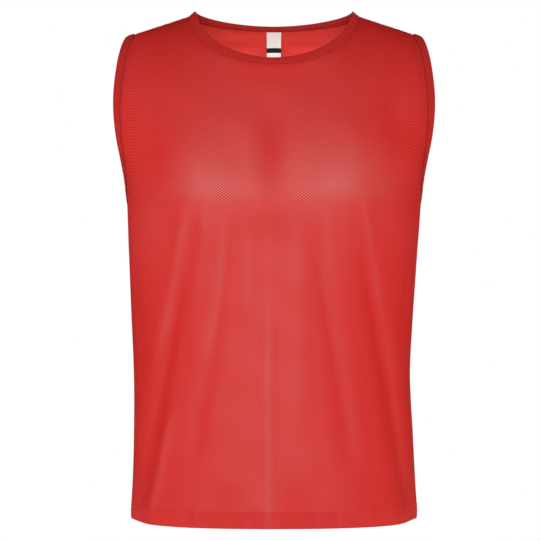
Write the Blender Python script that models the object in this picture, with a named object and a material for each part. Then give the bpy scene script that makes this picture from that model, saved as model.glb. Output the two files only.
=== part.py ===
"""Sleeveless training bib in red mesh knit, filled out as if worn, hollow and open.

Metres, +Z up. The front faces -Y. The origin is midway between the two points where the
shoulder seams meet the neck. Panels, bindings and label are separate cloth walls.
"""
import math

import bmesh
import bpy
import numpy as np

# ---------------------------------------------------------------- driving dimensions (metres)
BODY_LENGTH = 0.710        # shoulder at the neck down to the hem
UNDERARM = -0.268          # height of the side seam's top
SHOULDER_TIP = 0.1965      # half width at the outer end of the shoulder seam
NECK_HALF = 0.1165         # half width of the cut neckline
NECK_SEAM = -0.006         # height of the cut neckline at the shoulder seam
SHOULDER_FALL = 0.312      # drop of the shoulder seam for each metre outwards
NECK_CREST = 0.0122        # height that the shoulders' arch would reach between them
FRONT_NECK_DROP = 0.0715   # cut neckline, from its top to its middle
BACK_NECK_DROP = 0.0125

WALL = 0.0015              # one layer of knit
HEM_WALL = 0.0025          # the turned-up hem, two layers
HEM_DEPTH = 0.023
HEM_STEP = 0.0008          # height over which the hem's upper edge ends
HEM_RISE = 0.0028          # how far the hem curves up towards the side seams
HEM_RISE_POWER = 8         # and how close to them it does so
SEAM_GAP = 0.0003          # clear space between sewn pieces

NECK_BAND_FRONT = 0.0094   # finished width of the neck binding
NECK_BAND_BACK = 0.0078
NECK_STAND = 0.0072        # how far the neck binding stands up beside the neck
ARM_BAND = 0.0122          # finished width of the armhole bindings
ARM_TURN = 0.0014          # how far their free edge turns inwards
BAND_THICK = 0.0024
BAND_CROWN = 1.12          # thickness of a binding's middle as a share of its edges'
BAND_ROUNDING = 0.0011     # width of the rounding of its free edge
STAND_MIDDLE = 0.25        # share of the stand that is left at the centre front and back
NECK_TURN = 0.030          # the neck binding changes width within this distance of the shoulders

LABEL_WIDTH = 0.0205
LABEL_LENGTH = 0.040
LABEL_THICK = 0.0010
LABEL_DROP = 0.0016        # from the cut neckline down to the label
LABEL_GAP = 0.0005         # between the label and the back panel
LABEL_ROWS = 8

FULLNESS = 2.3             # power of the body's rounded cross-section (2 is an ellipse)
ARMHOLE_DEPTH = 0.62       # how far forward the armhole's edge lies, as a share of the depth
ARMHOLE_ROUNDING = 0.57    # power of its curve at the underarm (0.5 is round, 1 is a V)

# The body's sections: how far the middle sways sideways, the half width from there to a side
# seam, and the depth of each panel in front of the seams or behind them.
SECTIONS = (
    dict(z=-0.710, sway=0.0000, half_width=0.2012, front=0.1290, back=0.1150),
    dict(z=-0.670, sway=0.0000, half_width=0.1984, front=0.1280, back=0.1145),
    dict(z=-0.592, sway=-0.0008, half_width=0.1950, front=0.1275, back=0.1130),
    dict(z=-0.508, sway=-0.0029, half_width=0.1930, front=0.1285, back=0.1120),
    dict(z=-0.424, sway=-0.0026, half_width=0.1967, front=0.1310, back=0.1140),
    dict(z=-0.340, sway=-0.0014, half_width=0.2011, front=0.1345, back=0.1185),
    dict(z=-0.300, sway=-0.0007, half_width=0.2032, front=0.1357, back=0.1204),
    dict(z=-0.268, sway=0.0000, half_width=0.2050, front=0.1360, back=0.1210),
)

# Cut edge of the armhole, seen from the front.
ARMHOLE = (
    dict(z=-0.268, half_width=0.2050),
    dict(z=-0.235, half_width=0.2053),
    dict(z=-0.205, half_width=0.2080),
    dict(z=-0.175, half_width=0.2115),
    dict(z=-0.145, half_width=0.2133),
    dict(z=-0.115, half_width=0.2130),
    dict(z=-0.085, half_width=0.2100),
    dict(z=-0.060, half_width=0.2060),
    dict(z=-0.043, half_width=0.2015),
    dict(z=-0.031, half_width=0.1965),
)

# Broad forms of a filled chest and back: a lobe's middle, its reach sideways, up and down,
# and its height out of the cloth (negative is a hollow).
FRONT_LOBES = (
    dict(x=-0.060, z=-0.258, wide=0.052, up=0.062, down=0.060, height=0.0055),
    dict(x=0.062, z=-0.254, wide=0.056, up=0.060, down=0.060, height=0.0055),
    dict(x=-0.004, z=-0.212, wide=0.017, up=0.050, down=0.026, height=-0.0050),
    dict(x=0.148, z=-0.145, wide=0.016, up=0.070, down=0.050, height=-0.0050),
    dict(x=-0.162, z=-0.165, wide=0.020, up=0.080, down=0.070, height=-0.0020),
)
BACK_LOBES = (
    dict(x=-0.078, z=-0.168, wide=0.058, up=0.060, down=0.060, height=0.0060),
    dict(x=0.080, z=-0.172, wide=0.056, up=0.060, down=0.058, height=0.0065),
    dict(x=0.002, z=-0.245, wide=0.026, up=0.090, down=0.120, height=-0.0060),
    dict(x=-0.146, z=-0.150, wide=0.016, up=0.060, down=0.050, height=-0.0040),
)

# Long hanging folds: upper and lower end of the middle line, its bow sideways, its half width
# at each end and its height (negative is a trough). A fold whose lower end is the hem runs out
# through it; the others fade.
HEM = -BODY_LENGTH
FRONT_FOLDS = (
    dict(x0=-0.008, z0=-0.420, x1=-0.007, z1=HEM, bow=0.000, w0=0.009, w1=0.010, height=0.0030),
    dict(x0=-0.118, z0=-0.285, x1=-0.172, z1=-0.560, bow=0.004, w0=0.012, w1=0.011, height=0.0040),
    dict(x0=-0.101, z0=-0.320, x1=-0.181, z1=-0.700, bow=0.006, w0=0.012, w1=0.012, height=-0.0070),
    dict(x0=-0.130, z0=-0.530, x1=-0.164, z1=-0.705, bow=0.003, w0=0.011, w1=0.011, height=0.0035),
    dict(x0=-0.077, z0=-0.275, x1=-0.090, z1=-0.500, bow=0.006, w0=0.009, w1=0.012, height=0.0035),
    dict(x0=-0.078, z0=-0.440, x1=-0.100, z1=-0.640, bow=0.000, w0=0.012, w1=0.016, height=-0.0030),
    dict(x0=-0.045, z0=-0.310, x1=-0.056, z1=-0.560, bow=0.002, w0=0.010, w1=0.014, height=-0.0022),
    dict(x0=0.042, z0=-0.340, x1=0.092, z1=HEM, bow=-0.006, w0=0.013, w1=0.018, height=-0.0050),
    dict(x0=0.070, z0=-0.285, x1=0.126, z1=-0.620, bow=-0.004, w0=0.011, w1=0.015, height=0.0035),
    dict(x0=0.114, z0=-0.300, x1=0.180, z1=-0.700, bow=-0.005, w0=0.012, w1=0.013, height=-0.0080),
    dict(x0=0.124, z0=-0.275, x1=0.170, z1=-0.560, bow=-0.004, w0=0.010, w1=0.011, height=0.0035),
)
BACK_FOLDS = (
    dict(x0=0.004, z0=-0.330, x1=0.012, z1=HEM, bow=0.004, w0=0.014, w1=0.017, height=-0.0045),
    dict(x0=-0.034, z0=-0.300, x1=-0.046, z1=HEM, bow=0.003, w0=0.013, w1=0.018, height=0.0040),
    dict(x0=0.040, z0=-0.290, x1=0.058, z1=-0.640, bow=-0.003, w0=0.013, w1=0.016, height=0.0045),
    dict(x0=-0.068, z0=-0.280, x1=-0.098, z1=HEM, bow=0.005, w0=0.012, w1=0.016, height=-0.0060),
    dict(x0=0.078, z0=-0.300, x1=0.106, z1=HEM, bow=-0.004, w0=0.012, w1=0.017, height=-0.0065),
    dict(x0=-0.100, z0=-0.260, x1=-0.140, z1=-0.600, bow=0.004, w0=0.012, w1=0.014, height=0.0045),
    dict(x0=0.112, z0=-0.265, x1=0.146, z1=-0.560, bow=-0.003, w0=0.012, w1=0.013, height=0.0040),
    dict(x0=-0.128, z0=-0.330, x1=-0.168, z1=-0.700, bow=0.004, w0=0.011, w1=0.013, height=-0.0060),
    dict(x0=0.136, z0=-0.310, x1=0.172, z1=-0.690, bow=-0.004, w0=0.011, w1=0.013, height=-0.0060),
)
FADE_IN = 0.22             # share of a fold's length over which it grows from nothing
FADE_OUT = 0.24            # and over which it ends, if it ends above the hem
CALM_SIDE = 0.14           # share of the half width beside a seam that folds leave plain
CALM_TOP = 0.16            # the same under the shoulders and the neckline

# Mesh: strips across a panel, from one shoulder to the other, and rows up it.
SHOULDER_STRIPS = 7
NECK_STRIPS = 28
BODY_ROWS = 13
ROW_CROWDING = 1.4         # above 1, rows stand closer below the underarm than above the hem
YOKE_ROWS = 15

# Each panel: the side it faces, the power of its arch over the shoulder, and the drop and power
# of its neckline (2 is an ellipse, less is closer to a V).
FRONT = dict(sign=-1, depth="front", arch=1.6, drop=FRONT_NECK_DROP, scoop=2.0)
BACK = dict(sign=1, depth="back", arch=2.3, drop=BACK_NECK_DROP, scoop=1.8)
FRONT.update(lobes=FRONT_LOBES, folds=FRONT_FOLDS)
BACK.update(lobes=BACK_LOBES, folds=BACK_FOLDS)

# name: base colour (sRGB hex), roughness
FINISHES = dict(
    mesh_knit=("CD3832", 0.62),
    binding_knit=("B82C28", 0.66),
    label_satin=("F2F1EE", 0.42),
)


# ---------------------------------------------------------------- small helpers
def smooth_value(rows, column, heights):
    """A named column at the given heights, on a smooth curve through the table's rows."""
    z = np.array([row["z"] for row in rows])
    values = np.array([row[column] for row in rows])
    slopes = np.gradient(values, z)
    k = np.clip(np.searchsorted(z, heights) - 1, 0, len(z) - 2)
    gap = z[k + 1] - z[k]
    s = np.clip((heights - z[k]) / gap, 0.0, 1.0)
    lower = (1 + 2 * s) * (1 - s) ** 2 * values[k] + s * (1 - s) ** 2 * gap * slopes[k]
    upper = s * s * (3 - 2 * s) * values[k + 1] + s * s * (s - 1) * gap * slopes[k + 1]
    return lower + upper


def ease(s):
    """0 to 1 with level ends."""
    s = np.clip(s, 0.0, 1.0)
    return s * s * (3 - 2 * s)


def unit(vectors):
    return vectors / np.linalg.norm(vectors, axis=-1, keepdims=True)


def shoulder_height(x):
    """Height of the shoulder seam, and of the arch that joins the two seams over the neck."""
    beyond = NECK_SEAM - SHOULDER_FALL * (np.abs(x) - NECK_HALF)
    between = NECK_CREST - (NECK_CREST - NECK_SEAM) * (x / NECK_HALF) ** 2
    return np.where(np.abs(x) > NECK_HALF, beyond, between)


# ---------------------------------------------------------------- the panels' form
def relief(side, x, z):
    """Height of the lobes and folds out of the smooth form."""
    total = np.zeros_like(x)
    for lobe in side["lobes"]:
        reach = np.where(z > lobe["z"], lobe["up"], lobe["down"])
        spread = ((x - lobe["x"]) / lobe["wide"]) ** 2 + ((z - lobe["z"]) / reach) ** 2
        total += lobe["height"] * np.exp(-spread)
    for fold in side["folds"]:
        s = (fold["z0"] - z) / (fold["z0"] - fold["z1"])
        along = np.clip(s, 0.0, 1.0)
        middle = fold["x0"] + (fold["x1"] - fold["x0"]) * along + 4 * fold["bow"] * along * (1 - along)
        width = fold["w0"] + (fold["w1"] - fold["w0"]) * along
        strength = ease(s / FADE_IN)
        if fold["z1"] > HEM:
            strength = strength * ease((1 - s) / FADE_OUT)
        total += fold["height"] * strength * np.exp(-((x - middle) / width) ** 2)
    return total


def body_heights():
    """Rows from the hem to the underarm, with a close pair where the hem's inner layer ends."""
    lowest = -BODY_LENGTH + HEM_DEPTH + HEM_STEP
    climb = 1 - (1 - np.linspace(0, 1, BODY_ROWS - 1)) ** ROW_CROWDING
    plain = lowest + (UNDERARM - lowest) * climb
    return np.concatenate(([-BODY_LENGTH, -BODY_LENGTH + HEM_DEPTH], plain))


def surface_grid(side):
    """Outer face of a panel before its folds: rows from the hem up, columns from -X to +X."""
    half_strips = SHOULDER_STRIPS + NECK_STRIPS // 2
    u = np.arange(-half_strips, half_strips + 1) / half_strips
    low_share = np.sign(u) * np.abs(np.sin(u * math.pi / 2)) ** (2 / FULLNESS)
    corner = np.abs(low_share) ** HEM_RISE_POWER
    turn = np.clip(u * half_strips / (NECK_STRIPS // 2), -1, 1) * math.pi / 2
    past_neck = np.clip(np.abs(u) * half_strips - NECK_STRIPS // 2, 0, None) / SHOULDER_STRIPS
    top_x = NECK_HALF * np.sin(turn) + np.sign(u) * past_neck * (SHOULDER_TIP - NECK_HALF)
    scoop = side["scoop"]
    neck_z = NECK_SEAM - side["drop"] * (1 - np.abs(np.sin(turn)) ** scoop) ** (1 / scoop)
    neck_z = np.where(past_neck > 0, shoulder_height(top_x), neck_z)

    body_z = body_heights()
    width = smooth_value(SECTIONS, "half_width", body_z)[:, None]
    depth = smooth_value(SECTIONS, side["depth"], body_z)[:, None]
    body_x = smooth_value(SECTIONS, "sway", body_z)[:, None] + width * low_share
    body_y = depth * (1 - np.abs(low_share) ** FULLNESS) ** (1 / FULLNESS)
    to_hem = ((UNDERARM - body_z) / (UNDERARM + BODY_LENGTH))[:, None]
    body = np.stack([body_x, body_y, body_z[:, None] + HEM_RISE * to_hem * corner], axis=-1)

    arch = side["arch"]
    rise = (np.arange(1, YOKE_ROWS + 1) / YOKE_ROWS)[:, None]
    top_climb = (neck_z - UNDERARM) / (shoulder_height(top_x) - UNDERARM)
    edge_climb = (1 - np.cos(math.pi * rise)) / 2
    climb = edge_climb * top_climb
    edge_z = UNDERARM + edge_climb * (shoulder_height(SHOULDER_TIP) - UNDERARM)
    edge_x = smooth_value(ARMHOLE, "half_width", edge_z)
    edge_depth = ARMHOLE_DEPTH * (1 - (1 - edge_climb) ** 2) ** ARMHOLE_ROUNDING
    full_width = edge_x / (1 - edge_depth ** FULLNESS) ** (1 / FULLNESS)
    yoke_x = edge_x * (low_share * (1 - rise) + top_x / SHOULDER_TIP * rise)
    yoke_z = UNDERARM + climb * (shoulder_height(yoke_x) - UNDERARM)
    arch_depth = (1 - climb ** arch).clip(0, 1) ** (1 / arch)
    section = (1 - (np.abs(yoke_x) / full_width) ** FULLNESS).clip(0, 1) ** (1 / FULLNESS)
    yoke_y = SECTIONS[-1][side["depth"]] * section * arch_depth
    yoke = np.stack([yoke_x, yoke_y, yoke_z], axis=-1)

    grid = np.concatenate([body, yoke])
    grid[..., 1] = side["sign"] * (grid[..., 1] + SEAM_GAP / 2)
    return grid


def grid_normals(grid, side):
    """Outward directions. On the side and shoulder seams they keep to the seam's own plane."""
    across = np.gradient(grid, axis=1, edge_order=2)
    up = np.gradient(grid, axis=0, edge_order=2)
    normals = np.cross(across, up) * -side["sign"]
    seam = BODY_ROWS + 1
    normals[:seam, 0, 1:] = 0
    normals[:seam, -1, 1:] = 0
    normals[-1, :SHOULDER_STRIPS + 1, 1] = 0
    normals[-1, -SHOULDER_STRIPS - 1:, 1] = 0
    return unit(normals)


def panel_faces(side):
    """Outer and inner points of a panel, and the outward directions between them."""
    smooth = surface_grid(side)
    rows, columns = smooth.shape[:2]
    from_side = 1 - np.abs(np.linspace(-1, 1, columns))
    from_top = np.clip((rows - 1 - np.arange(rows)) / YOKE_ROWS, 0, 1)
    calm = ease(from_side / CALM_SIDE)[None, :] * ease(from_top / CALM_TOP)[:, None]
    height = relief(side, smooth[..., 0], smooth[..., 2]) * calm
    outer = smooth + grid_normals(smooth, side) * height[..., None]
    normals = grid_normals(outer, side)
    thick = np.full(rows, WALL)
    thick[:2] = HEM_WALL
    inner = outer - normals * thick[:, None, None]
    return outer, inner, normals


# ---------------------------------------------------------------- meshes and objects
def linear_colour(code):
    """Principled base colour from an sRGB hex code."""
    parts = [int(code[i:i + 2], 16) / 255 for i in (0, 2, 4)]
    return [c / 12.92 if c <= 0.04045 else ((c + 0.055) / 1.055) ** 2.4 for c in parts] + [1.0]


def cloth_material(name, finish):
    code, roughness = FINISHES[finish]
    material = bpy.data.materials.new(name + "_" + finish)
    material.use_nodes = True
    shader = material.node_tree.nodes["Principled BSDF"]
    shader.inputs["Base Color"].default_value = linear_colour(code)
    shader.inputs["Roughness"].default_value = roughness
    shader.inputs["Metallic"].default_value = 0.0
    return material


def add_piece(name, points, faces, finish):
    """One closed body with its faces turned outwards."""
    mesh = bpy.data.meshes.new(name)
    mesh.from_pydata([tuple(point) for point in points], [], faces)
    shape = bmesh.new()
    shape.from_mesh(mesh)
    bmesh.ops.recalc_face_normals(shape, faces=shape.faces)
    shape.to_mesh(mesh)
    shape.free()
    mesh.shade_smooth()
    mesh.set_sharp_from_angle(angle=math.radians(50))
    mesh.materials.append(cloth_material(name, finish))
    piece = bpy.data.objects.new(name, mesh)
    bpy.context.scene.collection.objects.link(piece)
    return piece


def wall_piece(name, outer, inner, finish):
    """A closed wall between two grids of points with the same rows and columns."""
    rows, columns = outer.shape[:2]
    back = rows * columns
    points = np.concatenate([outer.reshape(-1, 3), inner.reshape(-1, 3)])
    faces = []
    for r in range(rows - 1):
        for c in range(columns - 1):
            a = r * columns + c
            quad = (a, a + 1, a + columns + 1, a + columns)
            faces.append(quad)
            faces.append(tuple(back + i for i in reversed(quad)))
    bottom = list(range(columns))
    right = [r * columns + columns - 1 for r in range(rows)]
    top = [(rows - 1) * columns + c for c in reversed(range(columns))]
    left = [r * columns for r in reversed(range(rows))]
    for border in (bottom, right, top, left):
        for a, b in zip(border, border[1:]):
            faces.append((b, a, back + a, back + b))
    return add_piece(name, points, faces, finish)


def ring_piece(name, rings, finish):
    """A closed band: one small section for each place along a closed loop."""
    count, sides = rings.shape[:2]
    faces = []
    for r in range(count):
        following = (r + 1) % count
        for k in range(sides):
            beside = (k + 1) % sides
            near = (r * sides + k, r * sides + beside)
            faces.append((*near, following * sides + beside, following * sides + k))
    return add_piece(name, rings.reshape(-1, 3), faces, finish)


# ---------------------------------------------------------------- bindings
def band_section(width):
    """A binding's section: distance out from the cut edge, and height above the wall's middle."""
    half = BAND_THICK / 2
    flat_end = width - BAND_ROUNDING
    front = ((SEAM_GAP, half), (width / 2, half * BAND_CROWN), (flat_end, half), (width, half / 3))
    return front + tuple((out, -height) for out, height in reversed(front))


def band_rings(edge, normals, widths, lean, upright):
    """Sections of a binding along a closed cut edge. lean moves the free edge by a vector."""
    along = unit(np.roll(edge, -1, axis=0) - np.roll(edge, 1, axis=0))
    outward = unit(np.cross(along, normals))
    if outward[upright, 2] < 0:
        outward = -outward
    rings = []
    for point, normal, out, width, shift in zip(edge, normals, outward, widths, lean):
        middle = point - normal * WALL / 2
        rings.append([
            middle + out * s + normal * n + shift * ((s - SEAM_GAP) / width) ** 2
            for s, n in band_section(width)
        ])
    return np.array(rings)


def closed_edge(front_points, back_points):
    """One loop from the front's edge and the back's, which share both their ends."""
    first = (front_points[0] + back_points[0]) / 2
    last = (front_points[-1] + back_points[-1]) / 2
    return np.concatenate([[first], front_points[1:-1], [last], back_points[-2:0:-1]])


def armhole_binding(name, front, back, column):
    yoke = slice(BODY_ROWS, None)
    edge = closed_edge(front[0][yoke, column], back[0][yoke, column])
    normals = unit(closed_edge(front[2][yoke, column], back[2][yoke, column]))
    widths = np.full(len(edge), ARM_BAND)
    lean = -normals * ARM_TURN
    return ring_piece(name, band_rings(edge, normals, widths, lean, 0), "binding_knit")


def neck_binding(name, front, back):
    neck = slice(SHOULDER_STRIPS, SHOULDER_STRIPS + NECK_STRIPS + 1)
    edge = closed_edge(front[0][-1, neck], back[0][-1, neck])
    normals = unit(closed_edge(front[2][-1, neck], back[2][-1, neck]))
    behind = ease((edge[:, 1] / NECK_TURN + 1) / 2)
    widths = NECK_BAND_FRONT + (NECK_BAND_BACK - NECK_BAND_FRONT) * behind
    stand = NECK_STAND * (STAND_MIDDLE + (1 - STAND_MIDDLE) * (edge[:, 0] / NECK_HALF) ** 2)
    lean = stand[:, None] * np.array([0.0, 0.0, 1.0])
    return ring_piece(name, band_rings(edge, normals, widths, lean, NECK_STRIPS // 2), "binding_knit")


# ---------------------------------------------------------------- label
def neck_label(name, back):
    """A tab inside the back neck, laid along the back panel's inner points and moved inwards."""
    inner, normals = back[1], back[2]
    middle = inner.shape[1] // 2
    beside = inner[-1, middle + 1, 0]
    drops = np.linalg.norm(np.diff(inner[::-1, middle], axis=0), axis=1).cumsum()
    steps = LABEL_DROP + LABEL_LENGTH * np.linspace(0, 1, LABEL_ROWS)
    near, far = [], []
    for step in steps:
        k = int(np.searchsorted(drops, step))
        before = drops[k - 1] if k else 0.0
        s = (step - before) / (drops[k] - before)
        row_near, row_far = [], []
        for share in (-1.0, 0.0, 1.0):
            c = share * LABEL_WIDTH / 2 / beside
            point = (1 - s) * between(inner[-1 - k], middle, c) + s * between(inner[-2 - k], middle, c)
            inward = -unit((1 - s) * normals[-1 - k, middle] + s * normals[-2 - k, middle])
            row_far.append(point + inward * LABEL_GAP)
            row_near.append(point + inward * (LABEL_GAP + LABEL_THICK))
        near.append(row_near)
        far.append(row_far)
    return wall_piece(name, np.array(near), np.array(far), "label_satin")


def between(row, middle, share):
    """A point of a grid row, share columns to the right of the middle one."""
    beside = middle + (1 if share > 0 else -1)
    return row[middle] + (row[beside] - row[middle]) * abs(share)


# ---------------------------------------------------------------- the garment
def build():
    for old in list(bpy.data.objects):
        bpy.data.objects.remove(old, do_unlink=True)
    front = panel_faces(FRONT)
    back = panel_faces(BACK)
    wall_piece("front_panel", front[0], front[1], "mesh_knit")
    wall_piece("back_panel", back[0], back[1], "mesh_knit")
    neck_binding("neck_binding", front, back)
    armhole_binding("armhole_binding_left", front, back, 0)
    armhole_binding("armhole_binding_right", front, back, -1)
    neck_label("neck_label", back)


build()
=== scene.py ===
"""Looks of a sleeveless training bib in red mesh knit, filled out as if worn, hollow and open.

Metres, +Z up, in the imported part's own frame: the front faces -Y, and the origin is midway
between the two points where the shoulder seams meet the neck. Each sewn piece is a thin cloth
shell on the form of its solid, with its finer creases, seams, folded edges and thread.
"""
import math

import bmesh
import bpy
import numpy as np
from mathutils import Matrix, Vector


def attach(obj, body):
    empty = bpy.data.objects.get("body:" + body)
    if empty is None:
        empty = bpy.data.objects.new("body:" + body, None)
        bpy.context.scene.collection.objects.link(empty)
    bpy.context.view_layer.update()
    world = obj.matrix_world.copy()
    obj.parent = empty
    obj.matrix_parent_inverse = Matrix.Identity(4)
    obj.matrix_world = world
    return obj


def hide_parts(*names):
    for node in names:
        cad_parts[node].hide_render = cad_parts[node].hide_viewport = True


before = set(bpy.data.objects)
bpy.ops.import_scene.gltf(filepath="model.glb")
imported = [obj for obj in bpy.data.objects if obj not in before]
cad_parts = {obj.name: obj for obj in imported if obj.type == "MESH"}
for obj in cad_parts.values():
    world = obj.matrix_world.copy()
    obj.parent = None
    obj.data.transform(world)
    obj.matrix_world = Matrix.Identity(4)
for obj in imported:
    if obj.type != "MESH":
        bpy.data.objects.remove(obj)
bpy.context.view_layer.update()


def rows_of(columns, *rows):
    """A table's rows as named values."""
    return [dict(zip(columns.split(), row)) for row in rows]


def patches(*rows):
    """Soft patches: a middle, its reach sideways, up and down, and the amount in the middle."""
    return rows_of("x z wide up down amount", *rows)


def folds(*rows):
    """Long folds: both ends, the bow sideways, the half width at each end and the amount."""
    return rows_of("start_x start_z end_x end_z bow start_wide end_wide amount", *rows)


# ---- the garment's sizes (metres)
BODY_LENGTH = 0.710        # shoulder at the neck down to the hem
UNDERARM = -0.268          # height of the side seam's top
SHOULDER_TIP = 0.1965      # half width at the outer end of the shoulder seam
NECK_HALF = 0.1165         # half width of the cut neckline
NECK_SEAM = -0.0048        # height of the cut neckline at the shoulder seam
SHOULDER_FALL = 0.3275     # drop of the shoulder seam for each metre outwards
NECK_CREST = 0.0122        # height that the shoulders' arch would reach between them
FRONT_NECK_DROP = 0.0742   # cut neckline, from its top to its middle
BACK_NECK_DROP = 0.0149
HEM = -BODY_LENGTH
HEM_DEPTH = 0.023
HEM_RISE = 0.0028          # how far the hem curves up towards the side seams
HEM_RISE_POWER = 8
FULLNESS = 2.3             # power of the body's rounded cross-section (2 is an ellipse)
ARMHOLE_DEPTH = 0.62       # how far forward the armhole's edge lies, as a share of the depth
ARMHOLE_ROUNDING = 0.57    # power of its curve at the underarm

NECK_BAND_FRONT = 0.0086   # finished width of the neck binding
NECK_BAND_BACK = 0.0066
NECK_STAND = 0.0058        # how far the neck binding stands up beside the neck
STAND_MIDDLE = 0.17        # share of the stand that is left at the centre front and back
STAND_CORNER = 0.50        # and at the shoulder seams themselves, where the corner is rounded
CORNER_REACH = 0.014
BACK_UPRIGHT = 0.0030      # how far back the free edge stands at the centre back
NECK_TURN = 0.030          # the neck binding changes width within this distance of the shoulders
ARM_BAND = 0.0122          # finished width of the armhole bindings
ARM_TURN = 0.0014          # how far their free edge turns inwards
BAND_THICK = 0.0024

LABEL_WIDTH = 0.0205
LABEL_LENGTH = 0.040
LABEL_DROP = 0.0016        # from the cut neckline down to the label

# The body's section from the hem up to the underarm: how far its middle sways towards +X, its half
# width, and its depth in front of the side seams and behind them.
SECTIONS = rows_of(
    "z sway half_width front back",
    (-0.710, 0.0000, 0.2012, 0.1290, 0.1150),
    (-0.670, 0.0000, 0.1984, 0.1280, 0.1145),
    (-0.592, -0.0008, 0.1950, 0.1275, 0.1130),
    (-0.508, -0.0029, 0.1930, 0.1285, 0.1120),
    (-0.424, -0.0026, 0.1967, 0.1310, 0.1140),
    (-0.340, -0.0014, 0.2011, 0.1345, 0.1185),
    (-0.300, -0.0007, 0.2032, 0.1357, 0.1204),
    (-0.268, 0.0000, 0.2050, 0.1360, 0.1210),
)
# Half width at the armholes' edges, from the underarm to the shoulder.
ARMHOLE = rows_of(
    "z half_width",
    (-0.268, 0.2050),
    (-0.235, 0.2053),
    (-0.205, 0.2080),
    (-0.175, 0.2115),
    (-0.145, 0.2133),
    (-0.115, 0.2130),
    (-0.085, 0.2100),
    (-0.060, 0.2060),
    (-0.043, 0.2015),
    (-0.031, 0.1965),
)

# The panels: which way each faces, its column of depths, the power of its arch over the yoke, and
# its neckline's drop and power. In the tables below, which join them, an amount is a height out of
# the cloth (below 0 a hollow or a trough), or a share for how the knit lies.
FRONT = dict(sign=-1, depth="front", arch=1.6, drop=FRONT_NECK_DROP, scoop=2.0)
BACK = dict(sign=1, depth="back", arch=2.3, drop=BACK_NECK_DROP, scoop=1.8)

# Broad forms of the chest and back.
FRONT["lobes"] = patches(
    (-0.116, -0.262, 0.058, 0.075, 0.140, 0.0090),
    (0.120, -0.258, 0.060, 0.075, 0.140, 0.0090),
    (-0.006, -0.160, 0.021, 0.055, 0.060, -0.0045),
    (0.000, -0.125, 0.110, 0.050, 0.060, -0.0030),
    (0.166, -0.150, 0.022, 0.070, 0.036, -0.0045),
)
BACK["lobes"] = patches(
    (-0.078, -0.168, 0.058, 0.060, 0.060, 0.0060),
    (0.080, -0.172, 0.056, 0.060, 0.058, 0.0065),
    (0.002, -0.245, 0.026, 0.090, 0.120, -0.0060),
    (-0.146, -0.150, 0.016, 0.060, 0.050, -0.0040),
)

# Long hanging folds, which the solids have too, in front within about 10 mm of these.
FRONT["folds"] = folds(
    (-0.008, -0.380, -0.009, HEM, 0.000, 0.009, 0.010, 0.0022),
    (-0.122, -0.355, -0.194, -0.720, 0.000, 0.010, 0.014, -0.0048),
    (-0.134, -0.530, -0.172, -0.705, 0.003, 0.010, 0.011, 0.0028),
    (-0.060, -0.262, -0.118, -0.640, 0.007, 0.011, 0.014, -0.0026),
    (-0.090, -0.280, -0.112, -0.430, 0.002, 0.009, 0.012, 0.0016),
    (0.052, -0.290, 0.110, -0.660, 0.002, 0.011, 0.015, -0.0032),
    (0.030, -0.280, 0.038, -0.600, 0.001, 0.014, 0.018, 0.0018),
    (0.118, -0.315, 0.197, -0.720, 0.000, 0.011, 0.016, -0.0060),
)
BACK["folds"] = folds(
    (0.004, -0.330, 0.012, HEM, 0.004, 0.014, 0.017, -0.0045),
    (-0.034, -0.300, -0.046, HEM, 0.003, 0.013, 0.018, 0.0040),
    (0.040, -0.290, 0.058, -0.640, -0.003, 0.013, 0.016, 0.0045),
    (-0.068, -0.280, -0.098, HEM, 0.005, 0.012, 0.016, -0.0060),
    (0.078, -0.300, 0.106, HEM, -0.004, 0.012, 0.017, -0.0065),
    (-0.100, -0.260, -0.140, -0.600, 0.004, 0.012, 0.014, 0.0045),
    (0.112, -0.265, 0.146, -0.560, -0.003, 0.012, 0.013, 0.0040),
    (-0.128, -0.330, -0.168, -0.700, 0.004, 0.011, 0.013, -0.0060),
    (0.136, -0.310, 0.172, -0.690, -0.004, 0.011, 0.013, -0.0060),
)
FADE_IN = 0.22             # share of a fold's length over which it grows from nothing
FADE_OUT = 0.24            # and over which it ends, if it ends above the hem
CALM_SIDE = 0.14           # share of the half width beside a seam that folds leave plain
CALM_TOP = 0.022           # the same under the shoulders and the neckline, in metres

# Finer creases, only in the cloth shells.
FRONT["creases"] = folds(
    (-0.114, -0.255, -0.140, -0.400, 0.000, 0.009, 0.008, 0.0012),
    (-0.102, -0.262, -0.122, -0.400, 0.000, 0.007, 0.008, -0.0003),
    (0.115, -0.250, 0.145, -0.430, 0.001, 0.006, 0.006, 0.0008),
    (-0.008, -0.300, -0.008, -0.500, 0.000, 0.006, 0.008, 0.0006),
    (-0.038, -0.285, -0.038, -0.440, 0.000, 0.007, 0.009, 0.0010),
    (-0.104, -0.520, -0.112, -0.680, 0.000, 0.012, 0.014, -0.0008),
    (0.048, -0.600, 0.052, -0.700, 0.001, 0.008, 0.010, 0.0008),
    (0.138, -0.520, 0.152, HEM, 0.000, 0.008, 0.010, 0.0007),
    (-0.192, -0.330, -0.174, -0.520, -0.002, 0.004, 0.005, -0.0009),
    (0.182, -0.350, 0.170, -0.470, 0.002, 0.004, 0.005, -0.0009),
    (-0.170, -0.250, -0.118, -0.292, 0.002, 0.006, 0.008, 0.0005),
    (0.178, -0.245, 0.128, -0.290, -0.002, 0.006, 0.008, 0.0005),
)
BACK["creases"] = folds(
    (-0.012, -0.420, -0.014, HEM, 0.001, 0.006, 0.008, -0.0008),
    (0.024, -0.470, 0.030, HEM, -0.001, 0.007, 0.009, 0.0009),
    (0.086, -0.560, 0.094, HEM, 0.000, 0.008, 0.010, 0.0009),
    (-0.122, -0.560, -0.136, HEM, 0.000, 0.008, 0.010, 0.0008),
    (-0.172, -0.246, -0.112, -0.300, 0.003, 0.006, 0.009, 0.0009),
    (0.174, -0.248, 0.118, -0.296, -0.003, 0.006, 0.009, 0.0009),
)
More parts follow.
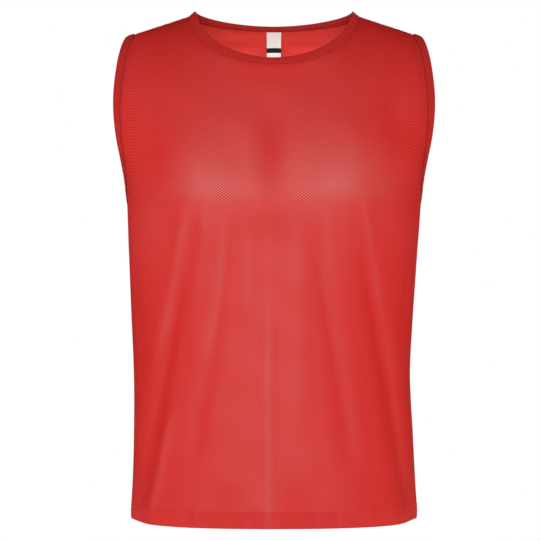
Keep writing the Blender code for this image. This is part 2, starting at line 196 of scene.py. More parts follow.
# Small dents and rises beside the sewn edges.
FRONT["dimples"] = patches(
    (0.052, -0.652, 0.016, 0.006, 0.005, -0.0007),
    (-0.070, -0.660, 0.020, 0.006, 0.006, -0.0006),
    (0.090, -0.668, 0.026, 0.006, 0.006, 0.0006),
    (-0.095, -0.678, 0.018, 0.005, 0.004, 0.0006),
    (0.014, -0.676, 0.016, 0.005, 0.005, -0.0005),
    (-0.024, -0.682, 0.014, 0.005, 0.004, 0.0005),
    (0.140, -0.676, 0.016, 0.005, 0.005, -0.0006),
)
BACK["dimples"] = patches(
    (-0.048, -0.044, 0.026, 0.004, 0.004, 0.0019),
    (-0.058, -0.032, 0.022, 0.004, 0.003, -0.0014),
    (0.046, -0.041, 0.028, 0.004, 0.004, 0.0019),
    (0.060, -0.053, 0.022, 0.004, 0.005, -0.0015),
    (-0.060, -0.665, 0.022, 0.006, 0.006, -0.0006),
    (0.075, -0.672, 0.020, 0.006, 0.006, 0.0006),
    (0.020, -0.660, 0.018, 0.006, 0.005, -0.0006),
)
# Slow unevenness of the whole cloth: wavelength across and up, turn of the wave, and height.
SWELLS = rows_of(
    "across up turn height",
    (0.061, 0.43, 0.7, 0.00012),
    (0.037, 0.21, 2.1, 0.00007),
    (0.148, 0.083, 4.4, 0.00020),
)
# Where the knit is tauter than the rest, so that its eyelets open: their dark dots, painted shade inside the
# holes, show more clearly.
FRONT["taut"] = patches(
    (-0.014, -0.400, 0.040, 0.070, 0.060, 0.50),
    (0.038, -0.570, 0.026, 0.075, 0.070, 0.75),
    (-0.058, -0.565, 0.024, 0.050, 0.045, 0.50),
    (-0.150, -0.460, 0.016, 0.070, 0.070, 0.20),
    (0.130, -0.420, 0.018, 0.110, 0.070, 0.25),
    (-0.006, -0.205, 0.022, 0.075, 0.090, -1.30),
)
# Painted sheen: where a paler yarn colour stands in for highlights, in patches and along the crests of the
# pulled folds.
FRONT["painted_sheen"] = patches(
    (-0.090, -0.247, 0.056, 0.042, 0.022, 0.72),
    (0.096, -0.243, 0.070, 0.048, 0.024, 0.76),
    (0.022, -0.530, 0.014, 0.060, 0.060, 0.14),
    (-0.165, -0.296, 0.032, 0.040, 0.060, 0.26),
    (0.140, -0.290, 0.030, 0.040, 0.050, 0.16),
)
FRONT["streaks"] = folds(
    (-0.115, -0.262, -0.160, -0.490, 0.002, 0.007, 0.006, 0.36),
    (-0.069, -0.262, -0.098, -0.500, 0.008, 0.006, 0.006, 0.32),
    (-0.034, -0.300, -0.037, -0.425, 0.000, 0.005, 0.005, 0.22),
    (-0.008, -0.270, -0.008, -0.560, 0.000, 0.006, 0.006, 0.14),
    (-0.009, -0.420, -0.008, HEM, 0.000, 0.006, 0.007, 0.32),
    (0.027, -0.275, 0.027, -0.400, 0.000, 0.010, 0.010, 0.16),
    (0.064, -0.252, 0.078, -0.380, 0.000, 0.006, 0.006, 0.20),
    (0.117, -0.245, 0.150, -0.450, 0.001, 0.005, 0.004, 0.24),
    (0.148, -0.420, 0.183, -0.680, 0.001, 0.004, 0.005, 0.16),
    (-0.136, -0.545, -0.169, -0.700, 0.000, 0.005, 0.005, 0.38),
)
# Where it is bunched or brushed, so that it has lost its shine.
FRONT["matt"] = patches(
    (-0.005, -0.195, 0.020, 0.052, 0.066, 0.64),
    (-0.004, -0.080, 0.085, 0.060, 0.045, 0.80),
    (0.142, -0.135, 0.016, 0.070, 0.060, 0.50),
    (-0.190, -0.180, 0.022, 0.120, 0.070, 0.60),
    (-0.070, -0.222, 0.040, 0.030, 0.030, 0.22),
    (0.056, -0.222, 0.040, 0.030, 0.030, 0.18),
    (0.000, -0.300, 0.100, 0.022, 0.042, 0.34),
    (-0.170, -0.310, 0.042, 0.050, 0.090, 0.75),
    (0.170, -0.310, 0.040, 0.050, 0.070, 0.55),
    (-0.062, -0.668, 0.030, 0.032, 0.040, 0.50),
    (0.030, -0.668, 0.032, 0.032, 0.040, 0.55),
)
BACK["taut"] = patches(
    (0.020, -0.420, 0.050, 0.080, 0.080, 0.45),
    (-0.060, -0.580, 0.028, 0.060, 0.070, 0.60),
    (0.090, -0.560, 0.026, 0.070, 0.060, 0.45),
    (0.000, -0.230, 0.026, 0.060, 0.070, -0.60),
)
# Painted sheen on the back: a paler yarn colour in place of highlights over the shoulder blades and along
# fold crests.
BACK["painted_sheen"] = patches(
    (-0.080, -0.165, 0.050, 0.045, 0.040, 0.50),
    (0.082, -0.170, 0.050, 0.045, 0.040, 0.50),
)
BACK["streaks"] = folds(
    (-0.034, -0.300, -0.046, HEM, 0.003, 0.006, 0.007, 0.25),
    (0.040, -0.290, 0.058, -0.640, -0.003, 0.006, 0.006, 0.28),
    (-0.100, -0.260, -0.140, -0.600, 0.004, 0.006, 0.006, 0.28),
    (0.112, -0.265, 0.146, -0.560, -0.003, 0.005, 0.006, 0.30),
)
BACK["matt"] = patches(
    (0.002, -0.215, 0.022, 0.070, 0.080, 0.80),
    (0.000, -0.040, 0.090, 0.050, 0.045, 0.60),
)
SLACK_KNIT = 0.16          # how taut the rest is
HEM_MATT = 0.60            # how matt the doubled hem is
MATT_MOST = 0.72
CHEST_END = -0.276         # height where the chest's tautness ends
CHEST_FADE = 0.026         # and over how much height it does
SHOULDER_CALM = 0.032      # the eyelets close over this distance up to the shoulders and the neck

# ---- cloth, seams and thread
CLOTH = 0.0009             # one layer of mesh knit
BINDING_CLOTH = 0.0007     # one layer of the binding
BINDING_LAP = 0.0013       # how far a binding's legs reach over the panel
PANEL_PARTING = 0.00005    # clear space between the two panels at a seam
SEAM_DIP = 0.0011          # how far a side seam is pulled in
SHOULDER_DIP = 0.0004      # and a shoulder seam, which lies stretched
SEAM_REACH = 0.0034        # and how far from the edge that reaches
GROOVE_DIP = 0.0005        # the panel beside a binding
GROOVE_REACH = 0.0040
HEM_LINES = (0.0162, 0.0222)   # twin-needle rows, above the hem's edge
HEM_LINE_DIP = 0.00045
HEM_LINE_REACH = 0.0013
HEM_FULL = 0.00035         # the turned-up layer lifts the outer one by this much
HEM_TURN = 0.0016          # how far the hem's edge turns inwards
HEM_PINCH = 0.35           # share of the turned-up layer that the needle rows press flat
PUCKER_HEIGHT = 0.00034    # gathers along the hem
PUCKER_REACH = 0.0100
PUCKER_SHARE = 0.5         # how unevenly they draw in the needle rows
NECK_PUCKER = PUCKER_HEIGHT * 0.5
ARM_PUCKER = PUCKER_HEIGHT * 0.6
BAND_UNEVEN = 0.00012      # slow waves in a binding's thickness
BAND_STITCH = 0.0014       # from the cut edge out to the binding's row of stitches
BAND_PINCH = 0.93          # share of a binding's thickness that is left there
LABEL_GAP = 0.0004
LABEL_THICK = 0.0004
LABEL_HANG = 0.0030        # how far the label's lower end hangs from the back
LABEL_BEND = 1.5           # power of that hang, from its upper end
LABEL_CURL = 0.0012        # and how far its lower corners curl forwards
LABEL_STITCH_DROP = 0.0022   # from its upper end down to its row of stitches
LABEL_STITCH_INSET = 0.0012  # from its sides in to the row's ends
STITCH_PITCH = 0.0030      # twin needle, about 8 stitches to the inch
STITCH_LENGTH = 0.0024
STITCH_SLANT = 0.09        # radians that a stitch may lie askew
LABEL_STITCH_PITCH = 0.0022
LABEL_STITCH_LENGTH = 0.0017
THREAD = 0.00042           # thickness of the sewing thread
THREAD_LIFT = THREAD * 0.2   # from the cloth up to the middle of a stitch

PANEL_CUT = (0.560, 0.735)   # width and length of the rectangle that a panel is cut from
PANEL_AREA = 0.350           # of the panel itself, m2

# Mesh: columns across a panel; row spacing in the hem and above it, and rows in the yoke.
COLUMNS = 200
HEM_ROW = 0.0012
BODY_ROW = 0.0047
YOKE_ROWS = 62
SHOULDER_SHARE = 1 / 3     # share of a panel's columns that end in the shoulders
LABEL_ROWS = 25
LABEL_COLUMNS = 13
LABEL_LINE_POINTS = 24

# ---- camera and light
CAMERA = Vector((-0.0056, -3.3, -0.361))
FRAME_WIDTH = 0.756        # metres across the picture at the origin's distance
LIT_MIDDLE = (0.0, 0.0, -0.36)
LIGHTS = rows_of(
    "name place size power glossy",
    ("key", (-0.20, -3.2, 0.62), (3.0, 0.7), 101, True),
    ("side_left", (-3.0, -1.0, -0.7), (2.0, 1.4), 62, False),
    ("side_right", (3.0, -1.0, -0.7), (2.0, 1.4), 65, False),
    ("back", (0.3, 3.2, 0.9), (2.6, 1.2), 120, True),
)


# ---- small helpers
def smooth_value(rows, column, heights):
    """A named column at the given heights, on a smooth curve through the table's rows."""
    z = np.array([row["z"] for row in rows])
    values = np.array([row[column] for row in rows])
    slopes = np.gradient(values, z)
    k = np.clip(np.searchsorted(z, heights) - 1, 0, len(z) - 2)
    gap = z[k + 1] - z[k]
    s = np.clip((heights - z[k]) / gap, 0.0, 1.0)
    curve = s * (1 - s) * gap * ((1 - s) * slopes[k] - s * slopes[k + 1])
    return values[k] + (values[k + 1] - values[k]) * ease(s) + curve


def ease(s):
    """0 to 1 with level ends."""
    s = np.clip(s, 0.0, 1.0)
    return s * s * (3 - 2 * s)


def bell(distance, reach):
    """1 at no distance, falling softly to nothing past about twice the reach."""
    return np.exp(-(distance / reach) ** 2)


def unit(vectors):
    return vectors / np.linalg.norm(vectors, axis=-1, keepdims=True)


def walked(points, axis):
    """Distance walked along an axis of a grid of points, from its start."""
    steps = np.linalg.norm(np.diff(points, axis=axis), axis=-1)
    return np.insert(np.cumsum(steps, axis=axis), 0, 0.0, axis=axis)


def shoulder_height(x):
    """Height of the shoulder seam, and of the arch that joins the two seams over the neck."""
    beyond = NECK_SEAM - SHOULDER_FALL * (np.abs(x) - NECK_HALF)
    between = NECK_CREST - (NECK_CREST - NECK_SEAM) * (x / NECK_HALF) ** 2
    return np.where(np.abs(x) > NECK_HALF, beyond, between)


def add_object(name, data):
    thing = bpy.data.objects.new(name, data)
    bpy.context.scene.collection.objects.link(thing)
    return thing


# ---- the panels' relief
def fold_sum(rows, x, z):
    """Sum of a table of folds at each point. One that ends above the hem fades out there."""
    total = np.zeros_like(x)
    for fold in rows:
        s = (fold["start_z"] - z) / (fold["start_z"] - fold["end_z"])
        along = np.clip(s, 0.0, 1.0)
        middle = fold["start_x"] + (fold["end_x"] - fold["start_x"]) * along
        middle += 4 * fold["bow"] * along * (1 - along)
        width = fold["start_wide"] + (fold["end_wide"] - fold["start_wide"]) * along
        strength = ease(s / FADE_IN)
        if fold["end_z"] > HEM:
            strength = strength * ease((1 - s) / FADE_OUT)
        total += fold["amount"] * strength * bell(x - middle, width)
    return total


def patch_sum(rows, x, z):
    """Sum of a table of soft patches at each point."""
    total = np.zeros_like(x)
    for patch in rows:
        reach = np.where(z > patch["z"], patch["up"], patch["down"])
        total += patch["amount"] * bell(x - patch["x"], patch["wide"]) * bell(z - patch["z"], reach)
    return total


def relief(side, x, z):
    """Lobes, folds, creases and slow unevenness together."""
    total = fold_sum(side["folds"] + side["creases"], x, z) + patch_sum(side["lobes"], x, z)
    for swell in SWELLS:
        phase = math.tau * (x / swell["across"] + z / swell["up"]) + swell["turn"] + side["sign"]
        total += swell["height"] * np.sin(phase)
    return total


def pucker_wave(distance, turn):
    """Uneven gathers, 9 to 31 mm apart, between about -1 and 1."""
    waves = ((0.0091, 0.35), (0.0137, 0.45), (0.0213, 0.45), (0.0311, 0.4))     # length and share
    total = 0.0
    for k, (length, share) in enumerate(waves):
        total = total + share * np.sin(math.tau * distance / length + turn * (k + 1.3))
    return total


def above_hem(heights, count):
    """Height of each row over the hem, as a column. The yoke's rows all count as a metre."""
    above = np.full((count, 1), 1.0)
    above[:len(heights), 0] = heights - HEM
    return above


def in_hem(above):
    """1 in the hem and 0 over it, with a soft step at its top."""
    return ease((HEM_DEPTH - above) / HEM_ROW + 0.5)


def hem_detail(above, wave):
    """The hem's fuller layer, its turned edge, its two needle rows and their puckers."""
    total = HEM_FULL * in_hem(above) - HEM_TURN * (1 - above / HEM_DEPTH).clip(0, 1) ** 2
    for line in HEM_LINES:
        total = total - HEM_LINE_DIP * (1 + PUCKER_SHARE * wave) * bell(above - line, HEM_LINE_REACH)
    return total + PUCKER_HEIGHT * wave * bell(above - sum(HEM_LINES) / 2, PUCKER_REACH)


def sewn_detail(side, grid, heights):
    """Height of the seams' dips, the hem's rows and the puckers, by distance from each sewn edge."""
    from_left = walked(grid, 1)
    from_side = np.minimum(from_left, from_left[:, -1:] - from_left)
    from_top = walked(grid[::-1], 0)[::-1]
    body = ease((len(heights) - np.arange(len(grid))[:, None]) / 3)     # 1 below the underarm
    neck = ~shoulder_columns()
    dips = SEAM_DIP * bell(from_side, SEAM_REACH) * body
    dips += SHOULDER_DIP * bell(from_top, SEAM_REACH) * ~neck
    dips += GROOVE_DIP * bell(from_side, GROOVE_REACH) * (1 - body)
    dips += GROOVE_DIP * bell(from_top, GROOVE_REACH) * neck

    wave = pucker_wave(from_left, side["sign"])
    up_wave = pucker_wave(grid[..., 2], side["sign"] + 2)
    half = PUCKER_REACH / 2
    puckers = NECK_PUCKER * wave * bell(from_top - half, half) * neck
    puckers += ARM_PUCKER * up_wave * bell(from_side - half, half) * (1 - body)
    dimples = patch_sum(side["dimples"], grid[..., 0], grid[..., 2])
    return hem_detail(above_hem(heights, len(grid)), wave) + puckers + dimples - dips


def knit_state(side, x, z, heights):
    """How the knit lies at each point: taut, painted sheen or matt, each from 0 to 1. Painted sheen is a
    paler yarn colour in place of highlights.
    """
    from_top = np.cumsum(np.abs(np.diff(z[::-1], axis=0, prepend=z[-1:])), axis=0)[::-1]
    chest = ease((z - CHEST_END) / CHEST_FADE + 0.5) * ease(from_top / SHOULDER_CALM)
    taut = SLACK_KNIT + (1 - SLACK_KNIT) * chest + patch_sum(side["taut"], x, z)
    # Painted sheen: patches and fold crests where the yarn is given a paler colour as a painted highlight.
    painted_sheen = patch_sum(side["painted_sheen"], x, z) + fold_sum(side["streaks"], x, z)
    uneven = 1 + PUCKER_SHARE * pucker_wave(x, turn=1.1)
    matt = patch_sum(side["matt"], x, z) + HEM_MATT * in_hem(above_hem(heights, len(x))) * uneven
    return dict(taut=taut.clip(0, 1), painted_sheen=painted_sheen.clip(0, 1), matt=matt.clip(0, MATT_MOST))


# ---- the panels' form
def body_heights():
    """Rows from the hem to the underarm. The lowest leaves room for the hem's round edge."""
    hem_rows = np.arange(HEM + CLOTH, HEM + HEM_DEPTH + 3 * HEM_ROW, HEM_ROW)
    count = round((UNDERARM - hem_rows[-1]) / BODY_ROW)
    return np.concatenate([hem_rows, np.linspace(hem_rows[-1], UNDERARM, count + 1)[1:]])


def top_line(side, u):
    """A panel's top as x and z: its neckline with a shoulder at each end."""
    neck_share = 1 - SHOULDER_SHARE
    turn = np.clip(u / neck_share, -1, 1) * math.pi / 2
    past_neck = np.clip((np.abs(u) - neck_share) / SHOULDER_SHARE, 0, 1)
    x = NECK_HALF * np.sin(turn) + np.sign(u) * past_neck * (SHOULDER_TIP - NECK_HALF)
    scoop = side["scoop"]
    z = NECK_SEAM - side["drop"] * (1 - np.abs(np.sin(turn)) ** scoop) ** (1 / scoop)
    return x, np.where(past_neck > 0, shoulder_height(x), z)


def body_grid(side, low_share, heights):
    """Rows from the hem to the underarm, round half of the body's section."""
    width = smooth_value(SECTIONS, "half_width", heights)[:, None]
    depth = smooth_value(SECTIONS, side["depth"], heights)[:, None]
    x = smooth_value(SECTIONS, "sway", heights)[:, None] + width * low_share
    y = depth * (1 - np.abs(low_share) ** FULLNESS) ** (1 / FULLNESS)
    to_hem = ((UNDERARM - heights) / (UNDERARM - HEM))[:, None]
    hem_curve = HEM_RISE * to_hem * np.abs(low_share) ** HEM_RISE_POWER
    return np.stack([x, y, heights[:, None] + hem_curve], axis=-1)


def yoke_grid(side, low_share, top_x, top_z):
    """Rows from the underarm to the top, from one armhole's edge to the other."""
    arch = side["arch"]
    rise = (np.arange(1, YOKE_ROWS + 1) / YOKE_ROWS)[:, None]
    top_climb = (top_z - UNDERARM) / (shoulder_height(top_x) - UNDERARM)
    edge_climb = (1 - np.cos(math.pi * rise)) / 2
    climb = edge_climb * top_climb
    edge_z = UNDERARM + edge_climb * (shoulder_height(SHOULDER_TIP) - UNDERARM)
    edge_x = smooth_value(ARMHOLE, "half_width", edge_z)
    edge_depth = ARMHOLE_DEPTH * (1 - (1 - edge_climb) ** 2) ** ARMHOLE_ROUNDING
    full_width = edge_x / (1 - edge_depth ** FULLNESS) ** (1 / FULLNESS)
    x = edge_x * (low_share * (1 - rise) + top_x / SHOULDER_TIP * rise)
    z = UNDERARM + climb * (shoulder_height(x) - UNDERARM)
    arch_depth = (1 - climb ** arch).clip(0, 1) ** (1 / arch)
    section = (1 - (np.abs(x) / full_width) ** FULLNESS).clip(0, 1) ** (1 / FULLNESS)
    return np.stack([x, SECTIONS[-1][side["depth"]] * section * arch_depth, z], axis=-1)


def surface_grid(side, heights):
    """Outer face of a panel before its folds: rows from the hem up, columns from -X to +X."""
    u = np.linspace(-1, 1, COLUMNS + 1)
    low_share = np.sign(u) * np.abs(np.sin(u * math.pi / 2)) ** (2 / FULLNESS)
    yoke = yoke_grid(side, low_share, *top_line(side, u))
    grid = np.concatenate([body_grid(side, low_share, heights), yoke])
    grid[..., 1] = side["sign"] * (grid[..., 1] + PANEL_PARTING / 2)
    return grid


def shoulder_columns():
    """True for the columns that end in the shoulder seam, not in the neckline."""
    return np.abs(np.linspace(-1, 1, COLUMNS + 1)) >= 1 - SHOULDER_SHARE


def grid_normals(grid, side, body_rows):
    """Outward directions. On the side and shoulder seams they keep to the seam's own plane."""
    across = np.gradient(grid, axis=1, edge_order=2)
    up = np.gradient(grid, axis=0, edge_order=2)
    up[-1] = grid[-1] - grid[-4]        # the rows crowd together at the top
    normals = np.cross(across, up) * -side["sign"]
    for edge in (0, -1):
        normals[:body_rows, edge, 1:] = 0
    normals[-1, shoulder_columns(), 1] = 0
    return unit(normals)


def cloth_coordinates(grid, normals, side):
    """Metres across the cloth from its middle and up it from the hem, along the knit's rows."""
    upwards = np.array([0.0, 0.0, 0.001])       # decides where the cloth faces straight sideways
    up = unit(np.cross(normals, (1.0, 0.0, 0.0)) * -side["sign"] + upwards)
    across = unit(np.cross(up, normals))
    middle = COLUMNS // 2
    step = np.sum(np.diff(grid, axis=1) * (across[:, 1:] + across[:, :-1]) / 2, axis=-1)
    u = np.insert(np.cumsum(step, axis=1), 0, 0.0, axis=1)
    u -= u[:, middle:middle + 1]
    step = np.sum(np.diff(grid, axis=0) * (up[1:] + up[:-1]) / 2, axis=-1)
    v = np.insert(np.cumsum(step, axis=0), 0, 0.0, axis=0)
    return np.stack([u, v], axis=-1)


def panel_form(side):
    """A panel's outer face: its points and directions before and after the folds and seams."""
    heights = body_heights()
    smooth = surface_grid(side, heights)
    smooth_normals = grid_normals(smooth, side, len(heights))
    from_side = 1 - np.abs(np.linspace(-1, 1, COLUMNS + 1))
    from_top = walked(smooth[::-1], 0)[::-1]
    calm = ease(from_side / CALM_SIDE) * ease(from_top / CALM_TOP)
    height = relief(side, smooth[..., 0], smooth[..., 2]) * calm
    folded = smooth + smooth_normals * height[..., None]
    detail = sewn_detail(side, folded, heights)
    outer = folded + grid_normals(folded, side, len(heights)) * detail[..., None]
    normals = grid_normals(outer, side, len(heights))
    return dict(
        heights=heights, smooth=smooth, smooth_normals=smooth_normals, folded=folded,
        outer=outer, normals=normals, cloth=cloth_coordinates(outer, normals, side),
        knit=knit_state(side, folded[..., 0], folded[..., 2], heights),
    )


# ---- meshes
def cloth_piece(name, sections, cloth, finishes, ring=False, kinds=None, knit=None):
    """A closed cloth body from closed sections one after another, round a ring or end to end.

    cloth gives each point's place on the cloth, with one more section than sections on a ring.
    kinds gives the finish of each side of a section, and knit how the knit lies at each point.
    """
    count, sides = sections.shape[:2]
    faces, places, face_kinds = [], [], []

    def add_face(corners, kind):
        faces.append([(k % count) * sides + s % sides for k, s in corners])
        places.extend(cloth[k, s % sides] for k, s in corners)
        face_kinds.append(kind)

    for k in range(count if ring else count - 1):
        for s in range(sides):
            add_face([(k, s), (k, s + 1), (k + 1, s + 1), (k + 1, s)], kinds[s] if kinds else 0)
    for k in () if ring else (0, count - 1):
        for s in range(sides // 2 - 1):
            corners = [(k, s), (k, sides - 1 - s), (k, sides - 2 - s), (k, s + 1)]
            add_face(corners if k == 0 else corners[::-1], 0)

    mesh = bpy.data.meshes.new(name)
    mesh.from_pydata(sections.reshape(-1, 3).tolist(), [], faces)
    layer = mesh.uv_layers.new(name="cloth")
    layer.data.foreach_set("uv", np.array(places, dtype=np.float32).ravel())
    mesh.polygons.foreach_set("material_index", face_kinds)
    for key, values in (knit or {}).items():
        layer = mesh.attributes.new(key, "FLOAT", "POINT")
        layer.data.foreach_set("value", values.ravel())
    for finish in finishes:
        mesh.materials.append(finish)
    turn_outwards(mesh)
    mesh.shade_smooth()
    mesh.set_sharp_from_angle(angle=math.radians(55))
    return add_object(name, mesh)


def turn_outwards(mesh):
    """Reverses the faces of a closed mesh whose faces point inwards."""
    solid = bmesh.new()
    solid.from_mesh(mesh)
    if solid.calc_volume(signed=True) < 0:
        mesh.flip_normals()
    solid.free()


def panel_piece(name, form, finishes):
    """A panel as one thickness of knit with its hem turned up inside."""
    outer, normals = form["outer"], form["normals"]
    above = above_hem(form["heights"], len(outer))
    pressed = HEM_PINCH * sum(bell(above - line, HEM_LINE_REACH) for line in HEM_LINES)
    thick = CLOTH * (1 + in_hem(above) * (1 - pressed))
    inner = outer - normals * thick[..., None]
    down = unit(outer[0] - outer[1])
    centre = (outer[0] + inner[0]) / 2
    half = (outer[0] - inner[0]) / 2
    edge = []
    for angle in np.radians((36, 72, 108, 144)):
        edge.append(centre + half * math.cos(angle) + down * (thick[0, 0] / 2 * math.sin(angle)))

    def wrapped(values):
        """The outer face's values from the top down, round the hem's edge and up the inside."""
        return np.concatenate([values[::-1], np.repeat(values[:1], len(edge), axis=0), values])

    rows = np.concatenate([outer[::-1], edge, inner]).transpose(1, 0, 2)
    places = wrapped(form["cloth"]).transpose(1, 0, 2)
    kinds = [0] * (len(outer) + len(edge)) + [1] * len(inner)
    knit = {key: wrapped(values).T for key, values in form["knit"].items()}
    return cloth_piece(name, rows, places, finishes, kinds=kinds, knit=knit)


# ---- bindings
def soften(loop, passes):
    """A closed loop of values, each drawn towards its neighbours."""
    for _ in range(passes):
        loop = (np.roll(loop, 1, axis=0) + 2 * loop + np.roll(loop, -1, axis=0)) / 4
    return loop


def closed_edge(front_points, back_points):
    """One loop from the front's edge and the back's, which share both their ends."""
    first = (front_points[0] + back_points[0]) / 2
    last = (front_points[-1] + back_points[-1]) / 2
    return np.concatenate([[first], front_points[1:-1], [last], back_points[-2:0:-1]])


def band_frame(edge, normals, widths, lean, upright):
    """Where a binding lies. upright is the number of a point where it points upwards."""
    along = unit(np.roll(edge, -1, axis=0) - np.roll(edge, 1, axis=0))
    outward = unit(soften(unit(np.cross(along, normals)), passes=4))
    if outward[upright, 2] < 0:
        outward = -outward
    length = walked(np.concatenate([edge, edge[:1]]), 0)
    return dict(
        middle=edge - normals * CLOTH / 2, normals=normals, outward=outward,
        widths=widths, lean=lean, length=length,
    )


def on_band(band, out, height):
    """Points of a band at a distance out from the cut edge and a height above its middle."""
    out, height = (np.broadcast_to(value, band["widths"].shape)[:, None] for value in (out, height))
    bend = (out / band["widths"][:, None]).clip(0, None) ** 2
    return band["middle"] + band["outward"] * out + band["normals"] * height + band["lean"] * bend


def band_piece(name, band, finish):
    """A strip folded over the cut edge, with one leg on each face of the panel."""
    half = BAND_THICK / 2
    gap = half - BINDING_CLOTH
    width = band["widths"]
    wave = pucker_wave(band["length"][:-1], turn=0.4) * BAND_UNEVEN
    edge, seam, full, crown = 0.86, 0.90, 1.05, 0.15       # shares of half the thickness
    path = [(-BINDING_LAP, half * edge), (-BINDING_LAP + 0.0005, half), (0.0012, half * seam)]
    for share in (0.3, 0.5, 0.7):
        path.append((share * width, half * (full + crown * math.sin(math.pi * share)) + wave))
    for angle in np.radians((90, 60, 30, 0)):
        path.append((width - half * (1 - math.cos(angle)), half * math.sin(angle)))
    lining = [(-BINDING_LAP, gap), (width - half, gap)]
    path += [(out, -height) for out, height in path[-2::-1]]
    path += [(out, -height) for out, height in lining]
    path += [(width - BINDING_CLOTH, 0.0)] + lining[::-1]
    rings = np.array([on_band(band, out, height) for out, height in path]).transpose(1, 0, 2)
    cloth = np.stack(np.meshgrid(band["length"], walked(rings, 1)[0], indexing="ij"), axis=-1)
    return cloth_piece(name, rings, cloth, [finish], ring=True)


def sewn_edge(front, back, rows, columns):
    """The cut edge that both panels share, before its sewn detail, and its outward directions."""
    edge, normals = (
        closed_edge(front[key][rows, columns], back[key][rows, columns])
        for key in ("smooth", "smooth_normals")
    )
    return edge, unit(soften(normals, passes=6))


def armhole_band(front, back, column):
    """An armhole's edge: the panels' first or last column, from the underarm up."""
    edge, normals = sewn_edge(front, back, slice(len(front["heights"]) - 1, None), column)
    return band_frame(edge, normals, np.full(len(edge), ARM_BAND), -normals * ARM_TURN, upright=0)


def neck_band(front, back):
    """The neckline's edge. Its binding is widest in front and stands up beside the neck."""
    neck = np.flatnonzero(~shoulder_columns())
    edge, normals = sewn_edge(front, back, -1, slice(neck[0] - 1, neck[-1] + 2))
    behind = ease((edge[:, 1] / NECK_TURN + 1) / 2)
    widths = NECK_BAND_FRONT + (NECK_BAND_BACK - NECK_BAND_FRONT) * behind
    beside = (edge[:, 0] / NECK_HALF) ** 2
    stand = NECK_STAND * (STAND_MIDDLE + (1 - STAND_MIDDLE) * beside)
    stand *= 1 - (1 - STAND_CORNER) * bell(edge[:, 1], CORNER_REACH)
    backwards = BACK_UPRIGHT * behind * (1 - beside).clip(0, 1)
    lean = np.stack([np.zeros_like(stand), backwards, stand], axis=-1)
    return band_frame(edge, normals, widths, lean, upright=len(edge) // 4)


# ---- label
def on_grid(grid, rows, columns):
    """Points of a grid at fractional rows and columns."""
    r = np.floor(rows).astype(int).clip(0, grid.shape[0] - 2)
    c = np.floor(columns).astype(int).clip(0, grid.shape[1] - 2)
    down, right = (rows - r)[..., None], (columns - c)[..., None]
    near = grid[r, c] * (1 - right) + grid[r, c + 1] * right
    far = grid[r + 1, c] * (1 - right) + grid[r + 1, c + 1] * right
    return near * (1 - down) + far * down


def label_places(back, across, drop):
    """Points and inward directions of the back panel's inside, by distance below the neckline."""
    outer = back["folded"][::-1]
    rows = np.interp(drop, walked(outer, 0)[:, COLUMNS // 2], np.arange(len(outer)))
    columns = [
        np.interp(x, outer[round(row), :, 0], np.arange(COLUMNS + 1))
        for x, row in zip(across.ravel(), rows.ravel())
    ]
    columns = np.reshape(columns, rows.shape)
    inward = -unit(on_grid(back["normals"][::-1], rows, columns))
    return on_grid(outer, rows, columns) + inward * CLOTH, inward


def label_piece(name, back, finish):
    """A woven tab that is caught in the binding's seam and hangs a little away from the back."""
    drops = LABEL_LENGTH * np.linspace(0, 1, LABEL_ROWS)
    across = LABEL_WIDTH / 2 * np.linspace(-1, 1, LABEL_COLUMNS)
    drop, side = np.meshgrid(drops, across, indexing="ij")
    points, inward = label_places(back, side, LABEL_DROP + drop)
    hang = drop / LABEL_LENGTH
    curl = (side / (LABEL_WIDTH / 2)) ** 2
    away = LABEL_GAP + LABEL_HANG * hang ** LABEL_BEND + LABEL_CURL * hang * curl
    far = points + inward * away[..., None]
    near = far + inward * LABEL_THICK
    sections = np.concatenate([near, far[:, ::-1]], axis=1)
    places = np.stack([side, drop], axis=-1)
    places = np.concatenate([places, places[:, ::-1]], axis=1)
    return cloth_piece(name, sections, places, [finish])


